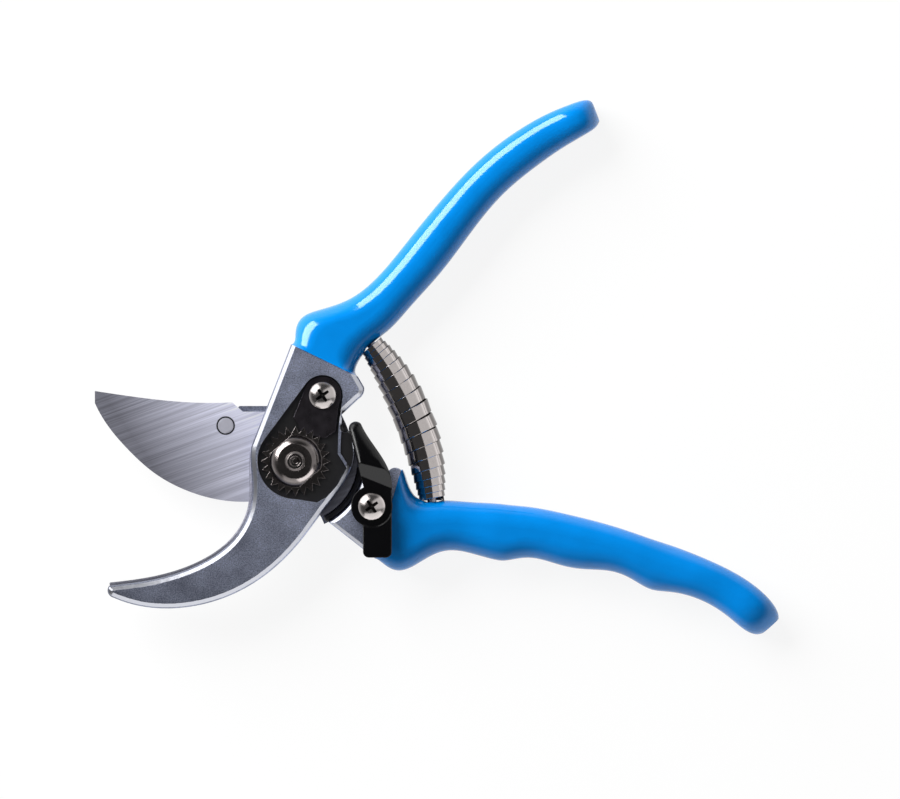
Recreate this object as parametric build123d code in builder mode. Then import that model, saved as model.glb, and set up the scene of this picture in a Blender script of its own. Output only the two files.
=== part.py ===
"""Bypass pruning shears, lying open and flat with the nut side up.

Millimetres. The pivot axis is Z, the surface they lie on is z = 0, the jaws point to -X.
The upper handle carries the hook, the lower handle carries the cutting blade.
"""
import math
import os

from build123d import *

os.makedirs("parts", exist_ok=True)

# Stack along the pivot axis, from the table upwards
running_gap = 0.05
head_thickness = 2.2
lower_plate_thickness = 3.95
blade_thickness = 3.0
washer_thickness = 0.3
upper_thickness = 6.85
recess_depth = 3.2
wheel_thickness = 1.8
nut_height = 4.3
bolt_end_height = 0.7
lock_plate_thickness = 2.0

plate_z = head_thickness + running_gap
blade_z = plate_z + lower_plate_thickness
washer_z = blade_z + blade_thickness
upper_z = washer_z + washer_thickness + running_gap
top_z = upper_z + upper_thickness
recess_z = top_z - recess_depth
wheel_top_z = recess_z + wheel_thickness
nut_top_z = wheel_top_z + nut_height
lock_top_z = recess_z + lock_plate_thickness

# Pivot
bolt_radius = 4.0
bolt_head_radius = 9.0
bolt_head_chamfer = 0.6
pivot_fit = 0.04
bush_radius = 5.5
washer_radius = 7.4
nut_radius = 7.8
nut_flats = 13.2
nut_crown_radius = 5.0
nut_rim_height = 1.5
nut_dome_radius = 5.0
bolt_thread_radius = 3.0
nut_flats_heading = 41.0
wheel_radius = 10.5
wheel_root_radius = 8.4
wheel_teeth = 24
tooth_clearance = 0.15
bolt_dimple_radius = 1.6
bolt_dimple_depth = 0.8

# Moves
closing_angle = 46.0
lock_swing = 18.0

# Cutting blade
blade_tip = (-60.4, 21.0)
blade_tip_foot = (-60.4, 17.4)
blade_back = [(-48.2, 19.2), (-35.3, 17.8)]
blade_back_end = (-19.2, 17.6)
blade_notch = (-16.0, 14.8)
blade_edge = [(-57.2, 11.6), (-50.1, 3.1), (-42.3, -3.8), (-33.3, -8.7), (-24.0, -11.5)]
blade_heel = (-13.0, -12.2)
blade_tail_radius = 18.4
blade_tail_from = -66.0
blade_tail_to = 12.0
blade_bevel_width = 3.2
blade_bevel_depth = 2.5
blade_rivet_spot = (-21.1, 10.6)
blade_rivet_radius = 2.35
blade_rivet_head_radius = 3.4
blade_rivet_head_height = 1.0
blade_rivet_groove = 0.45
blade_rivet_groove_depth = 0.5

# Hook and body of the upper handle
shoulder = (-13.0, 4.9)
jaw_edge = [(-13.9, -5.0), (-14.6, -14.6), (-18.7, -22.4), (-27.5, -29.3), (-39.6, -33.9), (-56.0, -36.5)]
hook_tip = (-56.3, -38.7)
hook_way = (-1.0, -0.12)
hook_outer = [(-54.6, -40.9), (-45.0, -43.7), (-33.6, -43.9), (-21.4, -41.0), (-9.2, -34.3), (1.7, -23.7)]
body_rim = [(9.4, -13.4), (15.4, -4.9), (17.4, 2.0), (16.4, 7.6)]
step_corner = (13.8, 13.9)
step_edge = (18.8, 18.6)
step_round = (20.5, 20.9)
step_top = (20.5, 22.2)
body_round = 1.7
counter_blade_thickness = 2.0
counter_blade_drop = 0.2
counter_blade_reveal = 0.9
counter_blade_width = 5.6
counter_blade_start = (-13.7, 3.8)
counter_rivet_radius = 1.3
counter_rivet_depth = 5.2
counter_rivet_inset = 2.9

# Recess for the toothed wheel and its lock plate
recess_radius = 11.4
recess_fit = 0.5
ledge_height = 1.4
recess_edge = [(13.2, 15.2), (12.8, 6.6), (12.7, 2.2), (15.4, -2.1), (12.6, -7.2), (9.2, -11.0), (6.4, -12.4)]
ledge_wall = 0.8
lock_screw_spot = (8.1, 19.7)
lock_plate_radius = 5.6
lock_plate_edge = [(2.9, 21.8), (-0.6, 13.1), (0.6, 11.4), (2.0, 8.0), (9.0, 7.0), (12.0, 9.0), (13.0, 17.0)]

# Screws
screw_head_radius = 4.0
screw_head_height = 2.4
screw_shank_radius = 2.0
cross_width = 1.0
cross_length = 4.6
cross_depth = 1.3
cross_taper = 14.0
cross_heading = 35.0
screw_rim_share = 0.35
screw_dome_radius = 6.0
lock_screw_length = 5.4
catch_screw_length = 13.5

# Lower handle
rivet_arm_radius = 5.0
arm_top = 16.5
arm_left = -17.1
arm_right = -6.0
plate_core_radius = 13.5
wall_from = -61.5
wall_to = -15.8
stop_foot = (26.2, -5.0)
stop_left = (27.6, -3.4)
stop_top = (29.3, -2.1)
block_round = 1.2
bumper_gap = 0.2
bumper_width = 2.0
bumper_height = 3.1
bumper_from = -64.0
bumper_to = -4.0

# Grips: outer and inner edge of each cross-section, from the front to the end
upper_grip_edges = [
    ((-1.3, 35.0), (18.7, 25.3)),
    ((-0.1, 38.9), (18.3, 28.8)),
    ((2.2, 43.4), (20.6, 32.6)),
    ((8.0, 45.7), (23.4, 35.7)),
    ((15.5, 48.4), (28.0, 39.4)),
    ((23.3, 54.1), (34.2, 46.1)),
    ((33.1, 65.5), (43.2, 56.2)),
    ((43.5, 78.2), (52.6, 68.6)),
    ((53.9, 89.3), (62.3, 80.2)),
    ((64.3, 97.7), (72.2, 88.5)),
    ((74.7, 103.9), (81.0, 94.6)),
    ((82.6, 107.2), (87.6, 98.5)),
    ((87.4, 108.5), (90.2, 100.4)),
    ((89.5, 107.0), (91.3, 102.2)),
]
lower_grip_edges = [
    ((31.6, -2.8), (24.0, -29.3)),
    ((33.6, -6.4), (28.6, -32.4)),
    ((36.4, -11.0), (34.2, -32.2)),
    ((42.0, -11.9), (41.4, -28.2)),
    ((49.0, -12.1), (48.4, -27.0)),
    ((58.5, -12.7), (57.2, -29.1)),
    ((67.0, -13.5), (65.0, -29.7)),
    ((75.0, -14.6), (72.4, -29.4)),
    ((84.0, -16.6), (80.4, -31.6)),
    ((93.0, -18.9), (88.8, -32.7)),
    ((101.5, -21.6), (96.4, -33.6)),
    ((110.0, -24.5), (104.0, -37.4)),
    ((119.0, -27.7), (112.0, -39.4)),
    ((128.0, -31.6), (120.0, -41.2)),
    ((135.5, -35.8), (127.4, -45.0)),
    ((141.2, -40.4), (133.0, -49.4)),
    ((144.5, -44.6), (137.2, -52.0)),
    ((145.3, -47.6), (140.4, -52.0)),
]
grip_front_thickness = 17.2
grip_thickness = 14.0
grip_end_thickness = 11.0
grip_tip_thickness = 7.0
grip_taper_count = 4
grip_front_corner = 4.4
grip_roundness = 0.93
grip_wall = 3.2
tang_z = 4.0
tang_thickness = 7.0
tang_root = 5.0
tang_short_count = 3

# Spring between the handles
spring_top = (23.2, 34.2)
spring_middle = (35.2, 13.2)
spring_foot = (40.8, -11.3)
spring_z = 8.0
spring_turns = 17
spring_wire_radius = 0.75
spring_end_radius = 3.3
spring_middle_radius = 6.1
spring_barrel = 0.8
spring_seat_gap = 0.3
spring_seat_clearance = 0.4
peg_radius = 1.35
peg_length = 4.5
peg_root = 6.0

# Thumb catch
catch_spot = (22.9, -13.5)
catch_boss_radius = 6.2
catch_boss_height = 2.55
catch_bush_radius = 3.0
catch_fit = 0.05
catch_washer_thickness = 0.4
catch_washer_radius = 5.2
catch_lift = 0.3
lever_foot = (20.4, -7.5)
lever_left = (16.35, 8.6)
lever_tip = (17.5, 11.8)
lever_right = (19.7, 11.2)
lever_back = [(24.8, 3.0), (28.3, -3.4)]
catch_side = (28.9, -9.0)
catch_tail_left = 20.3
catch_tail_bottom = -28.8
catch_tail_corner = 1.8
catch_tail_height = 2.6
catch_pad_height = 4.8
catch_facet_heading = 68.0
catch_facet_start = 7.2
catch_facet_end = 12.6
catch_pad_round = 1.5
catch_pad_heading = 104.0
catch_pad_start = 8.0
catch_pad_fall = 10.0
lug_radius = 1.2
lug_reach = 11.1
lug_heading = 100.5
lug_clearance = 0.35
lug_overlap = 1.6
latch_tooth_clearance = 1.6
latch_tooth_face = 5.0
latch_tooth_back = 12.0
latch_tooth_ramp = 16.0
latch_tooth_root = 20.0

# Radii and heights that follow from the sizes above
wall_radius = blade_tail_radius + bumper_width + 2 * bumper_gap
latch_tooth_radius = wall_radius - latch_tooth_clearance
catch_z = top_z + catch_washer_thickness + running_gap
lever_z = lock_top_z + screw_head_height + catch_lift
catch_bush_top_z = catch_z + catch_boss_height + running_gap
ledge_z = top_z - ledge_height
lug_z = ledge_z - lug_overlap


def polar(radius, degrees, centre=(0.0, 0.0)):
    """Point at a radius and a heading from a centre."""
    angle = math.radians(degrees)
    return (centre[0] + radius * math.cos(angle), centre[1] + radius * math.sin(angle))


def turned(point, degrees):
    """Point turned about the pivot."""
    return polar(math.hypot(*point), math.degrees(math.atan2(point[1], point[0])) + degrees)


def beside(points, distance):
    """Points moved sideways, to the left of the way that they run."""
    moved = []
    for place, (x, y) in enumerate(points):
        before = points[max(place - 1, 0)]
        after = points[min(place + 1, len(points) - 1)]
        along = Vector(after[0] - before[0], after[1] - before[1]).normalized()
        moved.append((x - along.Y * distance, y + along.X * distance))
    return moved


def grip_section(edges, thickness, corner):
    """Rounded cross-section that stands on the table between an outer and an inner edge point."""
    outer = Vector(*edges[0])
    inner = Vector(*edges[1])
    across = (outer - inner).normalized()
    ahead = Vector(across.Y, -across.X)
    middle = (outer + inner) * 0.5 + Vector(0, 0, thickness / 2)
    width = (outer - inner).length
    with BuildSketch(Plane(middle, x_dir=across, z_dir=ahead)) as section:
        RectangleRounded(width, thickness, min(corner, grip_roundness * min(width, thickness) / 2))
    return section.sketch


def grip_sections(edges):
    """All cross-sections of a grip, thick at its front and rounded off at its end."""
    sections = []
    last = len(edges) - 1
    for place, pair in enumerate(edges):
        share = min(place / grip_taper_count, 1.0)
        thickness = grip_front_thickness + (grip_thickness - grip_front_thickness) * share
        corner = grip_front_corner + (grip_thickness - grip_front_corner) * share
        if place == last - 1:
            thickness = grip_end_thickness
        if place == last:
            thickness = grip_tip_thickness
        sections.append(grip_section(pair, thickness, corner))
    return sections


def tang_outline(edges):
    """Corners of the metal tang inside a grip, with a root that reaches into the forging."""
    left = []
    right = []
    for outer, inner in edges[:-tang_short_count]:
        across = (Vector(*outer) - Vector(*inner)).normalized() * grip_wall
        left.append((outer[0] - across.X, outer[1] - across.Y))
        right.append((inner[0] + across.X, inner[1] + across.Y))
    across = (Vector(*left[0]) - Vector(*right[0])).normalized()
    back = Vector(-across.Y, across.X) * tang_root
    left.insert(0, (left[0][0] + back.X, left[0][1] + back.Y))
    right.insert(0, (right[0][0] + back.X, right[0][1] + back.Y))
    return left + right[::-1]


def pan_screw(spot, seat_z, shank_length):
    """Pan-head screw with a cross recess, its head seated at a height."""
    rim_height = screw_head_height * screw_rim_share
    with BuildPart() as screw:
        with BuildSketch(Plane((*spot, seat_z), x_dir=(1, 0, 0), z_dir=(0, -1, 0))):
            with BuildLine():
                Line((0, 0), (screw_head_radius, 0))
                Line((screw_head_radius, 0), (screw_head_radius, rim_height))
                RadiusArc((screw_head_radius, rim_height), (0, screw_head_height), -screw_dome_radius)
                Line((0, screw_head_height), (0, 0))
            make_face()
        revolve(axis=Axis((*spot, seat_z), (0, 0, 1)))
        with BuildSketch(Plane((*spot, seat_z))):
            Circle(screw_shank_radius)
        extrude(amount=-shank_length)
        with BuildSketch(Plane((*spot, seat_z + screw_head_height))):
            Rectangle(cross_length, cross_width, rotation=cross_heading)
            Rectangle(cross_width, cross_length, rotation=cross_heading)
        extrude(amount=-cross_depth, taper=cross_taper, mode=Mode.SUBTRACT)
    return screw


def toothed_disc(grown):
    """Star of pointed teeth round the pivot, grown by a clearance."""
    pitch = 360 / wheel_teeth
    points = []
    for tooth in range(wheel_teeth):
        points.append(polar(wheel_radius + grown, tooth * pitch))
        points.append(polar(wheel_root_radius + grown, (tooth + 0.5) * pitch))
    with BuildSketch() as disc:
        Polygon(*points, align=None)
    return disc.sketch


def sector(radius, start, stop):
    """Slice of a disc round the pivot between two headings."""
    with BuildSketch() as slice_of_disc:
        Circle(radius)
        Polygon((0, 0), polar(2 * radius, start), polar(2 * radius, (start + stop) / 2),
                polar(2 * radius, stop), align=None, mode=Mode.INTERSECT)
    return slice_of_disc.sketch


def blade_outline(height, set_back):
    """Outline of the blade at a height, its cutting edge set back by the width that is ground away."""
    edge = beside([blade_tip_foot, *blade_edge, blade_heel], set_back)
    with BuildSketch(Plane.XY.offset(height)) as outline:
        with BuildLine():
            Line(blade_tip, edge[0])
            Spline(*edge)
            Line(edge[-1], (0, blade_heel[1]))
            Line((0, blade_heel[1]), (0, blade_notch[1]))
            Line((0, blade_notch[1]), blade_notch)
            Line(blade_notch, blade_back_end)
            Spline(blade_back_end, *blade_back[::-1], blade_tip)
        make_face()
    return outline.sketch


def counter_outline():
    """Outline of the counter blade, whose cutting edge stands proud of the hook."""
    with BuildSketch() as outline:
        with BuildLine():
            cutting = Spline(*counter_edge)
            backing = Spline(*counter_inner[:-1], counter_tip)
            Line(cutting @ 0, backing @ 0)
            Line(cutting @ 1, backing @ 1)
        make_face()
    return outline.sketch


# Places of the latch lug: free, locked, and as the closed upper handle sees it
lug_free = polar(lug_reach, lug_heading, catch_spot)
lug_locked = polar(lug_reach, lug_heading + lock_swing, catch_spot)
latch_notch = turned(lug_locked, closing_angle)
latch_heading = math.degrees(math.atan2(latch_notch[1], latch_notch[0]))

# Spring axis, an arc through three points
spring_axis = ThreePointArc((*spring_top, spring_z), (*spring_middle, spring_z), (*spring_foot, spring_z))


def spring_point(share):
    """Point of the wire's centre line at a share of the spring's length, with its direction."""
    def place(at):
        spread = math.sin(math.pi * at) ** spring_barrel if 0 < at < 1 else 0.0
        radius = spring_end_radius + (spring_middle_radius - spring_end_radius) * spread
        turn = 2 * math.pi * spring_turns * at
        along = spring_axis % at
        side = Vector(-along.Y, along.X, 0)
        reach = radius - spring_wire_radius
        return spring_axis @ at + side * (reach * math.cos(turn)) + Vector(0, 0, reach * math.sin(turn))

    step = 1e-5
    ahead = place(min(share + step, 1.0)) - place(max(share - step, 0.0))
    return place(share), ahead.normalized()


# Metal of the upper handle's spring peg and the lower one, along the spring's ends
peg_top_plane = Plane(Vector(*spring_top, spring_z), z_dir=spring_axis % 0)
peg_foot_plane = Plane(Vector(*spring_foot, spring_z), z_dir=-(spring_axis % 1))

with BuildPart() as upper_spring_peg:
    with BuildSketch(peg_top_plane.offset(-peg_root)):
        Circle(peg_radius)
    extrude(amount=peg_root + peg_length)
    chamfer(upper_spring_peg.faces().sort_by(Axis(peg_top_plane.origin, peg_top_plane.z_dir))[-1].edges(),
            peg_radius / 3)

with BuildPart() as lower_spring_peg:
    with BuildSketch(peg_foot_plane.offset(-peg_root)):
        Circle(peg_radius)
    extrude(amount=peg_root + peg_length)
    chamfer(lower_spring_peg.faces().sort_by(Axis(peg_foot_plane.origin, peg_foot_plane.z_dir))[-1].edges(),
            peg_radius / 3)

# Spring: one wire in a barrel of turns, each half turn a pair of tangent arcs
with BuildPart() as main_spring:
    with BuildLine() as wire:
        half_turns = 2 * spring_turns
        for half in range(half_turns):
            start, start_way = spring_point(half / half_turns)
            end, end_way = spring_point((half + 1) / half_turns)
            reach = end - start
            both = start_way + end_way
            curve_a = 2 * (start_way.dot(end_way) - 1)
            curve_b = -2 * reach.dot(both)
            curve_c = reach.dot(reach)
            root = math.sqrt(curve_b * curve_b - 4 * curve_a * curve_c)
            handle = 2 * curve_c / (-curve_b + root)
            first = start + start_way * handle
            second = end - end_way * handle
            joint = (first + second) * 0.5
            TangentArc(start, joint, tangent=start_way)
            TangentArc(joint, end, tangent=second - first)
    with BuildSketch(Plane(wire.line @ 0, z_dir=wire.line % 0)):
        Circle(spring_wire_radius)
    sweep(path=wire.line)

# Least gap between the spring's turns, measured on points of the wire's centre line
turn_points = 24
spring_points = [spring_point(step / (spring_turns * turn_points))[0]
                 for step in range(spring_turns * turn_points + 1)]
spring_gap = min((spring_points[far] - spring_points[near]).length
                 for near in range(len(spring_points))
                 for far in range(near + turn_points // 2, min(near + 2 * turn_points, len(spring_points))))
print(f"spring: least gap between turns {spring_gap - 2 * spring_wire_radius:.2f} mm")

# Vinyl grips, with the seat of the spring's end and room for the tang and the peg
with BuildPart() as upper_grip:
    loft(sections=grip_sections(upper_grip_edges))
    with BuildSketch(Plane.XY.offset(tang_z)):
        Polygon(*tang_outline(upper_grip_edges), align=None)
    extrude(amount=tang_thickness, mode=Mode.SUBTRACT)
    with BuildSketch(peg_top_plane.offset(-spring_wire_radius - spring_seat_gap)):
        Circle(spring_end_radius + spring_seat_clearance)
    extrude(amount=peg_length + peg_root, mode=Mode.SUBTRACT)
    add(upper_spring_peg.part, mode=Mode.SUBTRACT)

with BuildPart() as lower_grip:
    loft(sections=grip_sections(lower_grip_edges))
    with BuildSketch(Plane.XY.offset(tang_z)):
        Polygon(*tang_outline(lower_grip_edges), align=None)
    extrude(amount=tang_thickness, mode=Mode.SUBTRACT)
    with BuildSketch(peg_foot_plane.offset(-spring_wire_radius - spring_seat_gap)):
        Circle(spring_end_radius + spring_seat_clearance)
    extrude(amount=peg_length + peg_root, mode=Mode.SUBTRACT)
    add(lower_spring_peg.part, mode=Mode.SUBTRACT)

# Steel counter blade along the hook's inner edge, held by blind rivets
counter_z = upper_z - counter_blade_drop
counter_edge = [counter_blade_start] + jaw_edge
counter_inner = beside(counter_edge, counter_blade_width)
counter_tip = (hook_tip[0] + counter_blade_reveal, hook_tip[1])
counter_rivet_spots = beside(counter_edge, counter_rivet_inset)[2:-1]

with BuildPart() as counter_blade_rivets:
    with BuildSketch(Plane.XY.offset(counter_z)):
        with Locations(*counter_rivet_spots):
            Circle(counter_rivet_radius)
    extrude(amount=counter_rivet_depth)

with BuildPart() as counter_blade:
    with BuildSketch(Plane.XY.offset(counter_z)):
        add(counter_outline())
        with Locations(*counter_rivet_spots):
            Circle(counter_rivet_radius, mode=Mode.SUBTRACT)
    extrude(amount=counter_blade_thickness)

# Upper handle: one forging from the hook over the pivot to the tang
with BuildPart() as upper_handle:
    with BuildSketch(Plane.XY.offset(upper_z)):
        with BuildLine():
            front = upper_grip_edges[0]
            straight = Line(front[0], shoulder)
            jaw = Spline(shoulder, *beside(jaw_edge, counter_blade_reveal), tangents=(straight % 1, hook_way))
            ThreePointArc(jaw @ 1, hook_tip, hook_outer[0])
            Spline(*hook_outer, *body_rim, step_corner)
            Line(step_corner, step_edge)
            ThreePointArc(step_edge, step_round, step_top)
            Line(step_top, front[1])
            Line(front[1], front[0])
        make_face()
    extrude(amount=upper_thickness)
    fillet(upper_handle.faces().sort_by(Axis.Z)[-1].edges().sort_by(Axis.Y)[:-1], body_round)
    with BuildSketch(Plane.XY.offset(upper_z)):
        Polygon(polar(wheel_radius, latch_heading),
                polar(wheel_radius, latch_heading - latch_tooth_root),
                polar(latch_tooth_radius - lug_radius, latch_heading - latch_tooth_ramp),
                polar(latch_tooth_radius, latch_heading - latch_tooth_back),
                polar(latch_tooth_radius, latch_heading - latch_tooth_face), align=None)
    extrude(amount=ledge_z - upper_z)
    with BuildSketch(Plane.XY.offset(recess_z)):
        with BuildSketch(Plane.XY.offset(recess_z)):
            Circle(recess_radius)
            with Locations(lock_screw_spot):
                Circle(lock_plate_radius + recess_fit)
            make_hull()
        Polygon((0, 0), lock_screw_spot, *recess_edge, (0, -recess_radius), align=None)
    extrude(amount=recess_depth, mode=Mode.SUBTRACT)
    with BuildSketch(Plane.XY.offset(ledge_z)):
        Polygon(*beside(recess_edge[:4], ledge_wall), (wall_radius, recess_edge[3][1]),
                (wall_radius, recess_edge[0][1]), align=None)
    extrude(amount=ledge_height, mode=Mode.SUBTRACT)
    with BuildSketch(Plane.XY.offset(lug_z - catch_lift)):
        with Locations(latch_notch):
            Circle(lug_radius + lug_clearance)
        with Locations(Location((*polar(lug_reach / 2, latch_heading, latch_notch), 0), latch_heading)):
            Rectangle(lug_reach, 2 * (lug_radius + lug_clearance))
    extrude(amount=upper_thickness, mode=Mode.SUBTRACT)
    with BuildSketch(Plane.XY.offset(tang_z)):
        Polygon(*tang_outline(upper_grip_edges), align=None)
    extrude(amount=tang_thickness)
    with BuildSketch(Plane.XY.offset(upper_z)):
        add(counter_outline())
    extrude(amount=counter_blade_thickness - counter_blade_drop, mode=Mode.SUBTRACT)
    with BuildSketch(Plane.XY.offset(upper_z)):
        Circle(bolt_radius + pivot_fit)
        with Locations(lock_screw_spot):
            Circle(screw_shank_radius)
    extrude(amount=upper_thickness, mode=Mode.SUBTRACT)
    add(counter_blade_rivets.part, mode=Mode.SUBTRACT)
    add(upper_spring_peg.part, mode=Mode.SUBTRACT)

# Pivot bolt, its toothed nut and the plate that locks the nut
with BuildPart() as pivot_bolt:
    with BuildSketch():
        Circle(bolt_head_radius)
    extrude(amount=head_thickness)
    chamfer(pivot_bolt.faces().sort_by(Axis.Z)[0].edges(), bolt_head_chamfer)
    with BuildSketch(Plane.XY.offset(head_thickness)):
        Circle(bolt_radius)
    extrude(amount=recess_z - head_thickness)
    with BuildSketch(Plane.XY.offset(recess_z)):
        Circle(bolt_thread_radius)
    extrude(amount=nut_top_z + bolt_end_height - recess_z)
    end_face = pivot_bolt.faces().sort_by(Axis.Z)[-1]
    chamfer(end_face.edges(), bolt_end_height)
    with BuildSketch(Plane.XY.offset(nut_top_z + bolt_end_height)):
        Circle(bolt_dimple_radius)
    extrude(amount=-bolt_dimple_depth, taper=45, mode=Mode.SUBTRACT)

with BuildPart() as toothed_nut:
    with BuildSketch(Plane.XY.offset(recess_z)):
        add(toothed_disc(0))
    extrude(amount=wheel_thickness)
    with BuildSketch(Plane.XZ):
        with BuildLine():
            Line((0, wheel_top_z), (nut_radius, wheel_top_z))
            Line((nut_radius, wheel_top_z), (nut_radius, wheel_top_z + nut_rim_height))
            RadiusArc((nut_radius, wheel_top_z + nut_rim_height), (nut_crown_radius, nut_top_z), -nut_dome_radius)
            Line((nut_crown_radius, nut_top_z), (0, nut_top_z))
            Line((0, nut_top_z), (0, wheel_top_z))
        make_face()
    revolve(axis=Axis.Z)
    with BuildSketch(Plane.XY.offset(wheel_top_z)):
        with PolarLocations(nut_flats / 2 + nut_radius / 2, 2, start_angle=nut_flats_heading + 90):
            Rectangle(nut_radius, 3 * nut_radius)
    extrude(amount=nut_height, mode=Mode.SUBTRACT)
    with BuildSketch(Plane.XY.offset(recess_z)):
        Circle(bolt_thread_radius)
    extrude(amount=nut_top_z - recess_z, mode=Mode.SUBTRACT)

with BuildPart() as lock_plate:
    with BuildSketch(Plane.XY.offset(recess_z)):
        with Locations(lock_screw_spot):
            Circle(lock_plate_radius)
        Polygon(*lock_plate_edge, align=None)
        add(toothed_disc(tooth_clearance), mode=Mode.SUBTRACT)
        with Locations(lock_screw_spot):
            Circle(screw_shank_radius, mode=Mode.SUBTRACT)
    extrude(amount=lock_plate_thickness)

lock_plate_screw = pan_screw(lock_screw_spot, lock_top_z, lock_screw_length)

# Bush and washer that the blade and the upper handle turn on
with BuildPart() as pivot_bush:
    with BuildSketch(Plane.XY.offset(plate_z)):
        Circle(bush_radius)
        Circle(bolt_radius + pivot_fit, mode=Mode.SUBTRACT)
    extrude(amount=washer_z - plate_z)

with BuildPart() as friction_washer:
    with BuildSketch(Plane.XY.offset(washer_z)):
        Circle(washer_radius)
        Circle(bolt_radius + 2 * pivot_fit, mode=Mode.SUBTRACT)
    extrude(amount=washer_thickness)

# Cutting blade, ground to its edge on the underside, and its rivet
grind_z = blade_z + blade_bevel_depth
with BuildPart() as cutting_blade:
    loft(sections=[blade_outline(blade_z, blade_bevel_width), blade_outline(grind_z, 0)], ruled=True)
    with BuildSketch(Plane.XY.offset(grind_z)):
        add(blade_outline(0, 0))
    extrude(amount=washer_z - grind_z)
    with BuildSketch(Plane.XY.offset(blade_z)):
        Circle(plate_core_radius)
        add(sector(blade_tail_radius, blade_tail_from, blade_tail_to))
    extrude(amount=blade_thickness)
    with BuildSketch(Plane.XY.offset(blade_z)):
        Circle(bush_radius)
        with Locations(blade_rivet_spot):
            Circle(blade_rivet_radius)
    extrude(amount=blade_thickness, mode=Mode.SUBTRACT)
    with BuildSketch(Plane.XY.offset(washer_z)):
        with Locations(blade_rivet_spot):
            Circle(blade_rivet_radius + blade_rivet_groove)
    extrude(amount=-blade_rivet_groove_depth, mode=Mode.SUBTRACT)

with BuildPart() as blade_rivet:
    with BuildSketch(Plane.XY.offset(plate_z - blade_rivet_head_height)):
        with Locations(blade_rivet_spot):
            Circle(blade_rivet_head_radius)
    extrude(amount=blade_rivet_head_height)
    chamfer(blade_rivet.faces().sort_by(Axis.Z)[0].edges(), blade_rivet_head_height / 2)
    with BuildSketch(Plane.XY.offset(plate_z)):
        with Locations(blade_rivet_spot):
            Circle(blade_rivet_radius)
    extrude(amount=washer_z - plate_z)

# Lower handle: plate behind the blade, arm to its rivet, raised block and tang
with BuildPart() as lower_handle:
    with BuildSketch(Plane.XY.offset(plate_z)):
        with BuildSketch(Plane.XY.offset(plate_z)):
            Circle(plate_core_radius)
            with Locations(blade_rivet_spot):
                Circle(rivet_arm_radius)
            make_hull()
        Polygon((0, 0), blade_rivet_spot, (arm_left, arm_top), (arm_right, arm_top), align=None)
        add(sector(wall_radius, blade_tail_from, blade_tail_to))
    extrude(amount=lower_plate_thickness)
    with BuildSketch(Plane.XY.offset(plate_z)):
        with BuildLine():
            front = lower_grip_edges[0]
            wall_foot = polar(wall_radius, wall_from)
            wall_top = polar(wall_radius, wall_to)
            ThreePointArc(wall_foot, polar(wall_radius, (wall_from + wall_to) / 2), wall_top)
            Line(wall_top, stop_foot)
            Line(stop_foot, stop_left)
            ThreePointArc(stop_left, stop_top, front[0])
            Line(front[0], front[1])
            Line(front[1], wall_foot)
        make_face()
    extrude(amount=top_z - plate_z)
    block_top = lower_handle.faces().sort_by(Axis.Z)[-1].edges()
    fillet(block_top.sort_by_distance(front[1])[1:].sort_by_distance(front[0])[1:], block_round)
    with BuildSketch(Plane.XY.offset(tang_z)):
        Polygon(*tang_outline(lower_grip_edges), align=None)
    extrude(amount=tang_thickness)
    with BuildSketch(Plane.XY.offset(plate_z)):
        Circle(bush_radius)
        with Locations(blade_rivet_spot):
            Circle(blade_rivet_radius)
        with Locations(catch_spot):
            Circle(screw_shank_radius)
    extrude(amount=top_z - plate_z, mode=Mode.SUBTRACT)
    add(lower_spring_peg.part, mode=Mode.SUBTRACT)

with BuildPart() as rubber_bumper:
    with BuildSketch(Plane.XY.offset(blade_z)):
        add(sector(wall_radius - bumper_gap, bumper_from, bumper_to))
        Circle(blade_tail_radius + bumper_gap, mode=Mode.SUBTRACT)
    extrude(amount=bumper_height)

# Thumb catch with its screw, bush and washer
with BuildPart() as catch_washer:
    with BuildSketch(Plane.XY.offset(top_z)):
        with Locations(catch_spot):
            Circle(catch_washer_radius)
            Circle(catch_bush_radius, mode=Mode.SUBTRACT)
    extrude(amount=catch_washer_thickness)

with BuildPart() as catch_bush:
    with BuildSketch(Plane.XY.offset(top_z)):
        with Locations(catch_spot):
            Circle(catch_bush_radius)
            Circle(screw_shank_radius, mode=Mode.SUBTRACT)
    extrude(amount=catch_bush_top_z - top_z)

catch_screw = pan_screw(catch_spot, catch_bush_top_z, catch_screw_length)

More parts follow.
